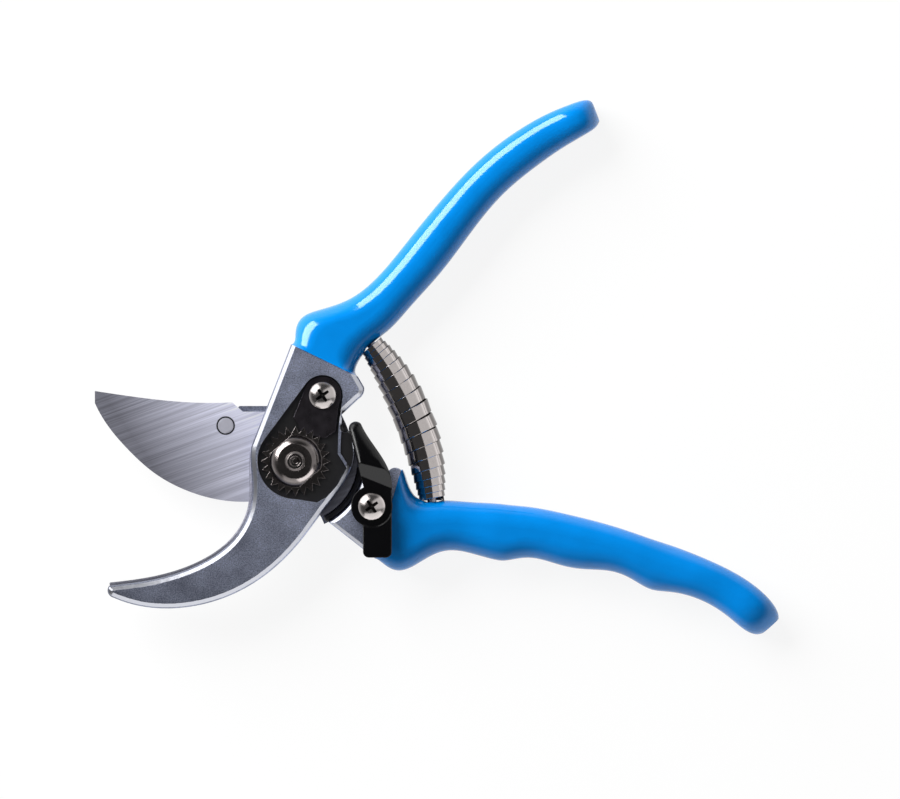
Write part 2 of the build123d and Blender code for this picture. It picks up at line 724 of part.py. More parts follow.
facet_plane = Plane((*catch_spot, lever_z), x_dir=(*polar(1, catch_facet_heading), 0),
                    z_dir=(*polar(1, catch_facet_heading - 90), 0))
pad_plane = Plane((*catch_spot, lever_z), x_dir=(*polar(1, catch_pad_heading), 0),
                  z_dir=(*polar(1, catch_pad_heading - 90), 0))
with BuildPart() as thumb_catch:
    with BuildSketch(Plane.XY.offset(lever_z)):
        with BuildLine():
            Line(catch_spot, lever_foot)
            Line(lever_foot, lever_left)
            ThreePointArc(lever_left, lever_tip, lever_right)
            Spline(lever_right, *lever_back, catch_side)
            Line(catch_side, (catch_side[0], catch_spot[1]))
            Line((catch_side[0], catch_spot[1]), catch_spot)
        make_face()
    extrude(amount=catch_pad_height)
    with BuildSketch(pad_plane):
        pad_length = 2 * lug_reach
        pad_drop = pad_length * math.tan(math.radians(catch_pad_fall))
        Polygon((catch_pad_start, catch_pad_height), (catch_pad_start + pad_length, catch_pad_height),
                (catch_pad_start + pad_length, catch_pad_height - pad_drop), align=None)
    extrude(amount=pad_length, both=True, mode=Mode.SUBTRACT)
    with BuildSketch(facet_plane):
        facet_foot = catch_z + catch_boss_height - lever_z
        Polygon((catch_facet_start, facet_foot), (catch_facet_end, catch_pad_height),
                (-lug_reach, catch_pad_height), (-lug_reach, facet_foot), align=None)
    extrude(amount=2 * lug_reach, both=True, mode=Mode.SUBTRACT)
    fillet(thumb_catch.faces().sort_by(Axis.Z)[-1].edges(), catch_pad_round)
    with BuildSketch(Plane.XY.offset(lever_z)) as tail:
        with Locations(((catch_tail_left + catch_side[0]) / 2, (catch_tail_bottom + catch_spot[1]) / 2)):
            Rectangle(catch_side[0] - catch_tail_left, catch_spot[1] - catch_tail_bottom)
        fillet(tail.vertices().group_by(Axis.Y)[0], catch_tail_corner)
    extrude(amount=catch_tail_height)
    with BuildSketch(Plane.XY.offset(catch_z)):
        with Locations(catch_spot):
            Circle(catch_washer_radius)
    extrude(amount=catch_boss_height)
    with BuildSketch(Plane.XY.offset(lever_z)):
        with Locations(catch_spot):
            Circle(catch_boss_radius)
    extrude(amount=catch_z + catch_boss_height - lever_z)
    with BuildSketch(Plane.XY.offset(catch_z + catch_boss_height)):
        with Locations(catch_spot):
            Circle(catch_boss_radius)
    extrude(amount=catch_pad_height, mode=Mode.SUBTRACT)
    with BuildSketch(Plane.XY.offset(lug_z)):
        with Locations(lug_free):
            Circle(lug_radius)
    extrude(amount=lever_z - lug_z)
    with BuildSketch(Plane.XY.offset(catch_z)):
        with Locations(catch_spot):
            Circle(catch_bush_radius + catch_fit)
    extrude(amount=catch_boss_height, mode=Mode.SUBTRACT)

pieces = {
    "upper_handle": upper_handle,
    "upper_grip": upper_grip,
    "upper_spring_peg": upper_spring_peg,
    "counter_blade": counter_blade,
    "counter_blade_rivets": counter_blade_rivets,
    "pivot_bolt": pivot_bolt,
    "toothed_nut": toothed_nut,
    "lock_plate": lock_plate,
    "lock_plate_screw": lock_plate_screw,
    "lower_handle": lower_handle,
    "lower_grip": lower_grip,
    "lower_spring_peg": lower_spring_peg,
    "cutting_blade": cutting_blade,
    "blade_rivet": blade_rivet,
    "pivot_bush": pivot_bush,
    "friction_washer": friction_washer,
    "rubber_bumper": rubber_bumper,
    "main_spring": main_spring,
    "catch_washer": catch_washer,
    "catch_bush": catch_bush,
    "catch_screw": catch_screw,
    "thumb_catch": thumb_catch,
}
for name, piece in pieces.items():
    piece.part.label = name
    export_step(piece.part, f"parts/{name}.step")
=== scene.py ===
"""Finishes, strip spring and studio for a pair of bypass pruning shears.

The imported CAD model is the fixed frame, in metres: pivot axis on Z, table at z = 0, jaws towards -X.
"""
import math

import bpy
from bpy.props import FloatProperty, FloatVectorProperty, IntProperty, PointerProperty
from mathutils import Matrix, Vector


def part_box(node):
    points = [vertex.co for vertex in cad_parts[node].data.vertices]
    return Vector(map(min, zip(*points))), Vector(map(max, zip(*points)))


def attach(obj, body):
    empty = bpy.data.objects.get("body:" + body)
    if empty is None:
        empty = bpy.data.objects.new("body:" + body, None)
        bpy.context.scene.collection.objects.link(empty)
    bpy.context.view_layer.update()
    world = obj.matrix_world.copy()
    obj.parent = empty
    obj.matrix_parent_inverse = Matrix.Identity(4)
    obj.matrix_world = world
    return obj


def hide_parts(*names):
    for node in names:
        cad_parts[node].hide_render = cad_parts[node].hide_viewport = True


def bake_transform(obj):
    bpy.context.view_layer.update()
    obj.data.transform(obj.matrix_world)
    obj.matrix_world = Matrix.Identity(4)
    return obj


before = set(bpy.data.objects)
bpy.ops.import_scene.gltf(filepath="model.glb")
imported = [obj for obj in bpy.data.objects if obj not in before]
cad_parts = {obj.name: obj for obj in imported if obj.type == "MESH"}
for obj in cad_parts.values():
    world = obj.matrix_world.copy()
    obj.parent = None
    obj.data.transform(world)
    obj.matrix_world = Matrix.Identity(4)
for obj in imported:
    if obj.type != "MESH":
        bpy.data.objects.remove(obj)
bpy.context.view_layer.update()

bl_info = {
    "name": "Pruning Shears",
    "version": (1, 0, 0),
    "blender": (4, 5, 0),
    "location": "View3D > Sidebar > Shears",
    "description": "Dresses the shears, winds their strip spring and sets the studio",
    "category": "Object",
}

MM = 0.001
WELD_GAP = 0.002 * MM
SHARP_EDGE = math.radians(35)


def linear(hex_code):
    """Linear colour of an sRGB hex value."""
    shares = [int(hex_code[at:at + 2], 16) / 255 for at in (1, 3, 5)]
    return tuple(s / 12.92 if s <= 0.04045 else ((s + 0.055) / 1.055) ** 2.4 for s in shares)


def rgba(colour, share=1.0):
    """A colour for a socket, darkened to a share of itself."""
    return (colour[0] * share, colour[1] * share, colour[2] * share, 1.0)


def add_node(tree, kind, inputs=None, **settings):
    """Add a node, set it, and give its inputs their values or links."""
    node = tree.nodes.new(kind)
    for name, value in settings.items():
        setattr(node, name, value)
    for key, value in (inputs or {}).items():
        if isinstance(value, bpy.types.NodeSocket):
            tree.links.new(value, node.inputs[key])
        else:
            node.inputs[key].default_value = value
    return node


def empty_material(name):
    """A material with an empty tree, and the tree."""
    material = bpy.data.materials.new(name)
    material.use_nodes = True
    material.node_tree.nodes.clear()
    return material, material.node_tree


def dress(material, *nodes):
    """Give CAD nodes their finish."""
    for name in nodes:
        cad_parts[name].material_slots[0].material = material


def soften(width, *nodes):
    """Round the sharp edges of CAD nodes a little, so that they catch the light."""
    for name in nodes:
        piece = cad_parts[name]
        # The CAD's faces don't share points along their borders, so these are joined first
        weld = piece.modifiers.new("weld", "WELD")
        weld.merge_threshold = WELD_GAP
        edges = piece.modifiers.new("edges", "BEVEL")
        edges.width = width
        edges.segments = 2
        edges.limit_method = "ANGLE"
        edges.angle_limit = SHARP_EDGE
        piece.modifiers.new("normals", "WEIGHTED_NORMAL")


def swept_piece(scene, name, rings, material, sharp_angle):
    """A closed skin through rings of points, as an object with edges sharp above an angle in degrees."""
    count = len(rings[0])
    faces = [[ring * count + k, ring * count + (k + 1) % count,
              (ring + 1) * count + (k + 1) % count, (ring + 1) * count + k]
             for ring in range(len(rings) - 1) for k in range(count)]
    faces.append(list(range(count))[::-1])
    faces.append([(len(rings) - 1) * count + k for k in range(count)])
    mesh = bpy.data.meshes.new(name)
    mesh.from_pydata([point for ring in rings for point in ring], [], faces)
    mesh.validate()
    mesh.shade_smooth()
    mesh.set_sharp_from_angle(angle=math.radians(sharp_angle))
    mesh.materials.append(material)
    piece = bpy.data.objects.new(name, mesh)
    scene.collection.objects.link(piece)
    return piece


def colour_property(name, description, hex_code):
    """A colour that a user would change."""
    return FloatVectorProperty(name=name, description=description, default=linear(hex_code),
                               subtype="COLOR", size=3, min=0.0, max=1.0)


def length_property(name, description, default):
    """A length that a user would change."""
    return FloatProperty(name=name, description=description, default=default, unit="LENGTH", precision=5)


def radiance_property(name, description, default):
    """The brightness of a light that a user would change."""
    return FloatProperty(name=name, description=description, default=default, min=0.0)


class ShearsFinish(bpy.types.PropertyGroup):
    """Colours of the shears."""

    vinyl: colour_property("Grip vinyl", "Colour of the dipped grips", "#007CCE")
    vinyl_shine: colour_property("Grip shine", "Tint of the light that the grips mirror", "#E4F5FF")
    aluminium: colour_property("Forging", "Colour of the tumbled aluminium forgings", "#BAC1DA")
    # The worn edge colour is also a painted highlight on edges that face upward
    worn_edge_highlight: colour_property("Worn edge", "Colour of the edges that tumbling wore bright", "#D4D6DF")
    paint: colour_property("Recess paint", "Colour of the paint in the wheel's recess", "#17161A")
    blade: colour_property("Blade", "Colour of the ground blade steel", "#DBDCEE")
    black_nickel: colour_property("Black nickel", "Colour of the nut, its wheel and the bolt", "#7E7877")
    black_oxide: colour_property("Black oxide", "Colour of the lock plate", "#524E54")
    nylon: colour_property("Catch nylon", "Colour of the thumb catch", "#07070A")
    rubber: colour_property("Bumper rubber", "Colour of the closing bumper", "#151417")
    nickel: colour_property("Nickel", "Colour of the plated spring and screws", "#D2CBC9")
    bare_steel: colour_property("Bare steel", "Colour of pegs, rivets and washers", "#BDBDC9")
    bronze: colour_property("Bush bronze", "Colour of the pivot bush", "#A5793F")
    acetal: colour_property("Washer acetal", "Colour of the friction washer", "#1C1C1E")


class ShearsSpring(bpy.types.PropertyGroup):
    """Sizes of the strip spring."""

    turns: IntProperty(name="Turns", description="Turns of the strip", default=17, min=3)
    strip_width: length_property("Strip width", "Width of the strip along the axis", 3.9 * MM)
    strip_thickness: length_property("Strip thickness", "Thickness of the strip", 0.3 * MM)
    end_radius: length_property("End radius", "Outer radius at both ends", 3.3 * MM)
    middle_radius: length_property("Middle radius", "Outer radius at the middle", 6.0 * MM)


class ShearsStage(bpy.types.PropertyGroup):
    """Camera, floor and lamps."""

    view_width: length_property("View width", "Width that the picture takes in", 270 * MM)
    camera_height: length_property("Camera height", "Height above the middle of the part", 2.0)
    floor: colour_property("Floor", "Colour of the floor", "#FFFFFF")
    key_radiance: radiance_property("Key panel", "Brightness of the large panel behind on the left", 13.5)
    soft_radiance: radiance_property("Soft key", "Brightness of that panel for pale metal and the catch", 2.2)
    top_radiance: radiance_property("Top panel", "Brightness of the high panel for handles and blades", 1.9)
    blade_radiance: radiance_property("Blade panel", "Brightness of the overhead panel for the blade", 1.0)
    strip_radiance: radiance_property("Left strip", "Brightness of the small panel for the catch", 7.0)
    rim_radiance: radiance_property("Rim panel", "Brightness of the low panel for dark metals", 3.0)
    grip_radiance: radiance_property("Grip fill", "Light on the grips from the front, without glare", 0.6)
    fill_radiance: radiance_property("Front fill", "Brightness of the low panel in front", 1.0)
    side_radiance: radiance_property("Side panel", "Brightness of the panel on the right", 0.65)
    horizon: radiance_property("Horizon", "Brightness of the studio at the horizon", 0.6)
    zenith: radiance_property("Zenith", "Brightness of the studio overhead", 0.05)


def dipped_vinyl(finish):
    """PVC plastisol, dip-moulded: deep colour, a little cloudy, under a wet gloss."""
    material, tree = empty_material("dipped_vinyl")
    place = add_node(tree, "ShaderNodeTexCoord").outputs["Object"]
    # The colour clouds over about 6 mm, and the dip's skin has a 0.6 mm orange peel
    clouds = add_node(tree, "ShaderNodeTexNoise", {"Vector": place, "Scale": 1 / (6 * MM), "Detail": 1.0})
    peel = add_node(tree, "ShaderNodeTexNoise", {"Vector": place, "Scale": 1 / (0.6 * MM), "Detail": 2.0})
    colour = add_node(tree, "ShaderNodeMix", {0: clouds.outputs["Fac"], 6: rgba(finish.vinyl, 0.93),
                                              7: rgba(finish.vinyl, 1.07)}, data_type="RGBA")
    gloss = add_node(tree, "ShaderNodeMapRange", {"Value": peel.outputs["Fac"],
                                                  "To Min": 0.1, "To Max": 0.16})
    skin = add_node(tree, "ShaderNodeBump", {"Height": peel.outputs["Fac"], "Strength": 0.006,
                                             "Distance": 0.05 * MM})
    shader = add_node(tree, "ShaderNodeBsdfPrincipled", {
        "Base Color": colour.outputs[2], "Roughness": gloss.outputs[0], "IOR": 1.53,
        "Specular Tint": rgba(finish.vinyl_shine), "Normal": skin.outputs[0]})
    add_node(tree, "ShaderNodeOutputMaterial", {"Surface": shader.outputs[0]})
    return material


def tumbled_forging(finish, painted_recess):
    """Aluminium, drop-forged and tumbled: satin grey, specked and cloudy, with worn edges whose upward-facing
    bands are also painted bright as a painted highlight.
    """
    material, tree = empty_material("tumbled_forging_painted" if painted_recess else "tumbled_forging")
    place = add_node(tree, "ShaderNodeTexCoord").outputs["Object"]
    # Tumbling media leave 0.35 mm dents, and the die leaves patches about 9 mm across
    dents = add_node(tree, "ShaderNodeTexNoise", {"Vector": place, "Scale": 1 / (0.35 * MM), "Detail": 3.0})
    patches = add_node(tree, "ShaderNodeTexNoise", {"Vector": place, "Scale": 1 / (9 * MM), "Detail": 4.0})
    specks = add_node(tree, "ShaderNodeMapRange", {"Value": dents.outputs["Fac"],
                                                   "From Min": 0.35, "From Max": 0.65})
    speckled = add_node(tree, "ShaderNodeMix", {0: specks.outputs[0], 6: rgba(finish.aluminium, 0.6),
                                                7: rgba(finish.aluminium, 1.22)}, data_type="RGBA")
    clouds = add_node(tree, "ShaderNodeMapRange", {"Value": patches.outputs["Fac"], "From Min": 0.3,
                                                   "From Max": 0.7, "To Min": 0.62, "To Max": 1.1})
    # The forging is darker towards the hook's tip
    across = add_node(tree, "ShaderNodeSeparateXYZ", {0: place}).outputs["X"]
    tip_darkening = add_node(tree, "ShaderNodeMapRange", {"Value": across, "From Min": -60 * MM, "From Max": 5 * MM,
                                                  "To Min": 0.55, "To Max": 1.0})
    tone = add_node(tree, "ShaderNodeMath", {0: clouds.outputs[0], 1: tip_darkening.outputs[0]}, operation="MULTIPLY")
    colour = add_node(tree, "ShaderNodeMix", {0: 1.0, 6: speckled.outputs[2], 7: tone.outputs[0]},
                      data_type="RGBA", blend_type="MULTIPLY").outputs[2]
    satin = add_node(tree, "ShaderNodeMapRange", {"Value": dents.outputs["Fac"],
                                                  "To Min": 0.34, "To Max": 0.46})
    # Tumbling wears the rounded upper edges smooth, and their bands are painted paler as a painted
    # highlight, which only edges that face upward get. What slopes by 7 to 50 degrees is shaded as one
    # slope of 30 degrees, which leans outward by 0.5 for 0.866 upward.
    band_from = math.radians(7)
    band_to = math.radians(50)
    band_outward = (0.5, 0.5, 0.0)
    band_upward = (0.0, 0.0, 0.866)
    normal = add_node(tree, "ShaderNodeNewGeometry").outputs["Normal"]
    slope = add_node(tree, "ShaderNodeSeparateXYZ", {0: normal}).outputs["Z"]
    off_level = add_node(tree, "ShaderNodeMath", {0: slope, 1: math.cos(band_from)}, operation="LESS_THAN")
    off_upright = add_node(tree, "ShaderNodeMath", {0: slope, 1: math.cos(band_to)},
                           operation="GREATER_THAN")
    edge = add_node(tree, "ShaderNodeMath", {0: off_level.outputs[0], 1: off_upright.outputs[0]},
                    operation="MULTIPLY").outputs[0]
    flat = add_node(tree, "ShaderNodeVectorMath", {0: normal, 1: (1.0, 1.0, 0.0)}, operation="MULTIPLY")
    heading = add_node(tree, "ShaderNodeVectorMath", {0: flat.outputs[0]}, operation="NORMALIZE")
    outward = add_node(tree, "ShaderNodeVectorMath", {0: heading.outputs[0], 1: band_outward},
                       operation="MULTIPLY")
    sloped = add_node(tree, "ShaderNodeVectorMath", {0: outward.outputs[0], 1: band_upward},
                      operation="ADD")
    band = add_node(tree, "ShaderNodeMix", {0: edge, 4: normal, 5: sloped.outputs[0]}, data_type="VECTOR")
    # Painted highlight: the upward-facing edge bands take the paler worn edge colour
    colour = add_node(tree, "ShaderNodeMix", {0: edge, 6: colour, 7: rgba(finish.worn_edge_highlight)},
                      data_type="RGBA").outputs[2]
    polish = add_node(tree, "ShaderNodeMix", {0: edge, 2: satin.outputs[0], 3: 0.3})
    pits = add_node(tree, "ShaderNodeBump", {"Height": dents.outputs["Fac"], "Strength": 0.4,
                                             "Distance": 0.02 * MM, "Normal": band.outputs[1]})
    metal = add_node(tree, "ShaderNodeBsdfPrincipled", {
        "Base Color": colour, "Metallic": 1.0, "Roughness": polish.outputs[0], "Normal": pits.outputs[0]})
    surface = metal.outputs[0]
    if painted_recess:
        # Level faces well below the top face are the floor and ledge of the recess
        level_share = 0.95
        recess_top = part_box("upper_handle")[1].z - 0.6 * MM
        height = add_node(tree, "ShaderNodeSeparateXYZ", {0: place}).outputs["Z"]
        facing = add_node(tree, "ShaderNodeNewGeometry").outputs["True Normal"]
        upward = add_node(tree, "ShaderNodeSeparateXYZ", {0: facing}).outputs["Z"]
        level = add_node(tree, "ShaderNodeMath", {0: upward, 1: level_share}, operation="GREATER_THAN")
        sunk = add_node(tree, "ShaderNodeMath", {0: height, 1: recess_top}, operation="LESS_THAN")
        recess = add_node(tree, "ShaderNodeMath", {0: level.outputs[0], 1: sunk.outputs[0]},
                          operation="MULTIPLY")
        paint = add_node(tree, "ShaderNodeBsdfPrincipled", {
            "Base Color": rgba(finish.paint), "Roughness": 0.42, "Normal": pits.outputs[0]})
        surface = add_node(tree, "ShaderNodeMixShader", {0: recess.outputs[0], 1: surface,
                                                         2: paint.outputs[0]}).outputs[0]
    add_node(tree, "ShaderNodeOutputMaterial", {"Surface": surface})
    return material


def ground_blade_steel(finish):
    """Hardened carbon steel, belt-ground: grey with fine parallel scratches rising to the right."""
    material, tree = empty_material("ground_blade_steel")
    place = add_node(tree, "ShaderNodeTexCoord").outputs["Object"]
    # Belt scratches 0.3 mm apart and 40 mm long, with deeper ones every 0.8 mm, at 20 degrees. Real ones
    # lie closer, and are drawn this coarse so that they show.
    belt_heading = math.radians(20)
    turned = add_node(tree, "ShaderNodeMapping", {"Vector": place, "Rotation": (0.0, 0.0, -belt_heading)})
    long_way = add_node(tree, "ShaderNodeMapping", {
        "Vector": turned.outputs[0], "Scale": (1 / (40 * MM), 1 / (0.3 * MM), 1 / (0.3 * MM))})
    deep_way = add_node(tree, "ShaderNodeMapping", {
        "Vector": turned.outputs[0], "Scale": (1 / (60 * MM), 1 / (0.8 * MM), 1 / (0.8 * MM))})
    fine = add_node(tree, "ShaderNodeTexNoise", {"Vector": long_way.outputs[0], "Scale": 1.0, "Detail": 3.0})
    deep = add_node(tree, "ShaderNodeTexNoise", {"Vector": deep_way.outputs[0], "Scale": 1.0, "Detail": 2.0})
    both = add_node(tree, "ShaderNodeMath", {0: fine.outputs["Fac"], 1: deep.outputs["Fac"]}, operation="ADD")
    lines = add_node(tree, "ShaderNodeMapRange", {"Value": both.outputs[0], "From Min": 0.7, "From Max": 1.3,
                                                  "To Min": 0.76, "To Max": 1.1})
    # The blade's tail, to the right of the pivot, is near black: painted shade for where it lies under the
    # forging's rim
    across = add_node(tree, "ShaderNodeSeparateXYZ", {0: place}).outputs["X"]
    tail_shade = add_node(tree, "ShaderNodeMapRange", {"Value": across, "From Min": -2 * MM, "From Max": 3 * MM,
                                                 "To Min": 1.0, "To Max": 0.12})
    # Dirt sits in the groove round the rivet, out to 2.8 mm from its axis
    rivet_low, rivet_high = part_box("blade_rivet")
    centre = (rivet_low + rivet_high) / 2
    flat = add_node(tree, "ShaderNodeVectorMath", {0: place, 1: (1.0, 1.0, 0.0)}, operation="MULTIPLY")
    off = add_node(tree, "ShaderNodeVectorMath", {0: flat.outputs[0], 1: (centre.x, centre.y, 0.0)},
                   operation="DISTANCE")
    groove = add_node(tree, "ShaderNodeMapRange", {"Value": off.outputs["Value"], "From Min": 2.7 * MM,
                                                   "From Max": 2.9 * MM, "To Min": 0.05, "To Max": 1.0})
    # The blade is darker towards the tip and the cutting edge, against a heading of 35 degrees
    bright_way = (0.82, 0.57, 0.0)
    inward = add_node(tree, "ShaderNodeVectorMath", {0: place, 1: bright_way}, operation="DOT_PRODUCT")
    worn = add_node(tree, "ShaderNodeMapRange", {"Value": inward.outputs["Value"], "From Min": -36 * MM,
                                                 "From Max": -4 * MM, "To Min": 0.32, "To Max": 1.27})
    tone = lines.outputs[0]
    for share in (worn, groove, tail_shade):
        tone = add_node(tree, "ShaderNodeMath", {0: tone, 1: share.outputs[0]},
                        operation="MULTIPLY").outputs[0]
    colour = add_node(tree, "ShaderNodeMix", {0: 1.0, 6: rgba(finish.blade), 7: tone},
                      data_type="RGBA", blend_type="MULTIPLY")
    rough = add_node(tree, "ShaderNodeMapRange", {"Value": both.outputs[0], "From Min": 0.7, "From Max": 1.3,
                                                  "To Min": 0.56, "To Max": 0.42})
    cut = add_node(tree, "ShaderNodeBump", {"Height": both.outputs[0], "Strength": 0.25,
                                            "Distance": 0.015 * MM})
    shader = add_node(tree, "ShaderNodeBsdfPrincipled", {
        "Base Color": colour.outputs[2], "Metallic": 1.0, "Roughness": rough.outputs[0],
        "Normal": cut.outputs[0]})
    add_node(tree, "ShaderNodeOutputMaterial", {"Surface": shader.outputs[0]})
    return material


def blackened_steel(name, colour, roughness):
    """Steel, blackened in a bath: dark gunmetal, a little uneven, with a shine in a range of roughness."""
    material, tree = empty_material(name)
    place = add_node(tree, "ShaderNodeTexCoord").outputs["Object"]
    # The bath leaves patches about 3 mm across over a 0.4 mm grain, drawn coarse enough to show
    patches = add_node(tree, "ShaderNodeTexNoise", {"Vector": place, "Scale": 1 / (3 * MM), "Detail": 4.0})
    grain = add_node(tree, "ShaderNodeTexNoise", {"Vector": place, "Scale": 1 / (0.4 * MM), "Detail": 2.0})
    tint = add_node(tree, "ShaderNodeMix", {0: patches.outputs["Fac"], 6: rgba(colour, 0.7),
                                            7: rgba(colour, 1.2)}, data_type="RGBA")
    rough = add_node(tree, "ShaderNodeMapRange", {"Value": patches.outputs["Fac"],
                                                  "To Min": roughness[0], "To Max": roughness[1]})
    worn = add_node(tree, "ShaderNodeBevel", {"Radius": 0.25 * MM}, samples=6)
    pits = add_node(tree, "ShaderNodeBump", {"Height": grain.outputs["Fac"], "Strength": 0.12,
                                             "Distance": 0.02 * MM, "Normal": worn.outputs[0]})
    shader = add_node(tree, "ShaderNodeBsdfPrincipled", {
        "Base Color": tint.outputs[2], "Metallic": 1.0, "Roughness": rough.outputs[0],
        "Normal": pits.outputs[0]})
    add_node(tree, "ShaderNodeOutputMaterial", {"Surface": shader.outputs[0]})
    return material


def moulded_plastic(name, colour, roughness, edge, pad_edge):
    """Black plastic or rubber, moulded: near black and soft-edged, with a skin in a range of roughness."""
    material, tree = empty_material(name)
    place = add_node(tree, "ShaderNodeTexCoord").outputs["Object"]
    # The mould's skin has 0.35 mm grains, drawn coarse enough to show, in patches of 5 mm
    grain = add_node(tree, "ShaderNodeTexNoise", {"Vector": place, "Scale": 1 / (0.35 * MM), "Detail": 2.0})
    patches = add_node(tree, "ShaderNodeTexNoise", {"Vector": place, "Scale": 1 / (5 * MM), "Detail": 2.0})
    tint = add_node(tree, "ShaderNodeMix", {0: patches.outputs["Fac"], 6: rgba(colour, 0.8),
                                            7: rgba(colour, 1.2)}, data_type="RGBA")
    rough = add_node(tree, "ShaderNodeMapRange", {"Value": patches.outputs["Fac"],
                                                  "To Min": roughness[0], "To Max": roughness[1]})
    # Edges are soft, and can be softer beyond y = 0, where the thumb pad is
    along = add_node(tree, "ShaderNodeSeparateXYZ", {0: place}).outputs["Y"]
    edges = add_node(tree, "ShaderNodeMapRange", {"Value": along, "From Min": 0.0, "From Max": 1.5 * MM,
                                                  "To Min": edge, "To Max": pad_edge})
    soft = add_node(tree, "ShaderNodeBevel", {"Radius": edges.outputs[0]}, samples=8)
    skin = add_node(tree, "ShaderNodeBump", {"Height": grain.outputs["Fac"], "Strength": 0.1,
                                             "Distance": 0.03 * MM, "Normal": soft.outputs[0]})
    shader = add_node(tree, "ShaderNodeBsdfPrincipled", {
        "Base Color": tint.outputs[2], "Roughness": rough.outputs[0], "IOR": 1.53,
        "Normal": skin.outputs[0]})
    add_node(tree, "ShaderNodeOutputMaterial", {"Surface": shader.outputs[0]})
    return material


def plated_metal(name, colour, roughness):
    """Metal, plated or turned: bright, hazy in a range of roughness, with painted shade darkening its
    hollows.
    """
    material, tree = empty_material(name)
    place = add_node(tree, "ShaderNodeTexCoord").outputs["Object"]
    # Plating haze lies in patches about 1.5 mm across, and painted shade darkens hollows about 1 mm deep
    haze = add_node(tree, "ShaderNodeTexNoise", {"Vector": place, "Scale": 1 / (1.5 * MM), "Detail": 4.0})
    clean = add_node(tree, "ShaderNodeMix", {0: haze.outputs["Fac"], 6: rgba(colour, 0.88),
                                             7: rgba(colour, 1.06)}, data_type="RGBA")
    open_share = add_node(tree, "ShaderNodeAmbientOcclusion", {"Distance": 1.2 * MM},
                          samples=8, only_local=True)
    hollow_shade = add_node(tree, "ShaderNodeMapRange", {"Value": open_share.outputs["AO"], "From Min": 0.55,
                                                  "From Max": 0.9, "To Min": 0.08, "To Max": 1.0})
    tint = add_node(tree, "ShaderNodeMix", {0: 1.0, 6: clean.outputs[2], 7: hollow_shade.outputs[0]},
                    data_type="RGBA", blend_type="MULTIPLY")
    rough = add_node(tree, "ShaderNodeMapRange", {"Value": haze.outputs["Fac"],
                                                  "To Min": roughness[0], "To Max": roughness[1]})
    shader = add_node(tree, "ShaderNodeBsdfPrincipled", {
        "Base Color": tint.outputs[2], "Metallic": 1.0, "Roughness": rough.outputs[0]})
    add_node(tree, "ShaderNodeOutputMaterial", {"Surface": shader.outputs[0]})
    return material


def rolled_strip(finish):
    """Spring steel strip, rolled and nickel-plated: mirror bright where it faces up, with painted shade on
    both flanks.
    """
    material, tree = empty_material("nickel_plated_strip")
    place = add_node(tree, "ShaderNodeTexCoord").outputs["Object"]
    # Rolling leaves faint streaks 0.8 mm across
    streaks = add_node(tree, "ShaderNodeTexNoise", {"Vector": place, "Scale": 1 / (0.8 * MM), "Detail": 3.0})
    # Painted shade: where the strip faces more than about 50 degrees away from up, its colour drops to 0.3
    facing = add_node(tree, "ShaderNodeNewGeometry").outputs["Normal"]
    upward = add_node(tree, "ShaderNodeSeparateXYZ", {0: facing}).outputs["Z"]
    flank_shade = add_node(tree, "ShaderNodeMapRange", {"Value": upward, "From Min": 0.58, "From Max": 0.66,
                                                  "To Min": 0.3, "To Max": 1.0})
    bright = add_node(tree, "ShaderNodeMapRange", {"Value": streaks.outputs["Fac"],
                                                   "To Min": 0.88, "To Max": 1.06})
    tone = add_node(tree, "ShaderNodeMath", {0: flank_shade.outputs[0], 1: bright.outputs[0]}, operation="MULTIPLY")
    colour = add_node(tree, "ShaderNodeMix", {0: 1.0, 6: rgba(finish.nickel), 7: tone.outputs[0]},
                      data_type="RGBA", blend_type="MULTIPLY")
    rough = add_node(tree, "ShaderNodeMapRange", {"Value": streaks.outputs["Fac"],
                                                  "To Min": 0.06, "To Max": 0.14})
    shader = add_node(tree, "ShaderNodeBsdfPrincipled", {
        "Base Color": colour.outputs[2], "Metallic": 1.0, "Roughness": rough.outputs[0]})
    add_node(tree, "ShaderNodeOutputMaterial", {"Surface": shader.outputs[0]})
    return material


class SHEARS_OT_forgings(bpy.types.Operator):
    """Dress both forged handles."""

    bl_idname = "shears.forgings"
    bl_label = "Forged Handles"

    def execute(self, context):
        finish = context.scene.shears_finish
        dress(tumbled_forging(finish, painted_recess=True), "upper_handle")
        soften(0.25 * MM, "upper_handle")
        dress(tumbled_forging(finish, painted_recess=False), "lower_handle")
        return {"FINISHED"}


class SHEARS_OT_grips(bpy.types.Operator):
    """Dress both vinyl grips."""

    bl_idname = "shears.grips"
    bl_label = "Vinyl Grips"

    def execute(self, context):
        dress(dipped_vinyl(context.scene.shears_finish), "upper_grip", "lower_grip")
        return {"FINISHED"}


class SHEARS_OT_blades(bpy.types.Operator):
    """Dress both blades, and the turned steel of rivets, pegs and the catch's bush and washer."""

    bl_idname = "shears.blades"
    bl_label = "Blades and Rivets"

    def execute(self, context):
        finish = context.scene.shears_finish
        dress(ground_blade_steel(finish), "cutting_blade", "counter_blade")
        soften(0.4 * MM, "counter_blade")
        soften(0.5 * MM, "blade_rivet")
        dress(plated_metal("turned_steel", finish.bare_steel, roughness=(0.4, 0.52)),
              "blade_rivet", "counter_blade_rivets", "catch_bush", "catch_washer",
              "upper_spring_peg", "lower_spring_peg")
        return {"FINISHED"}


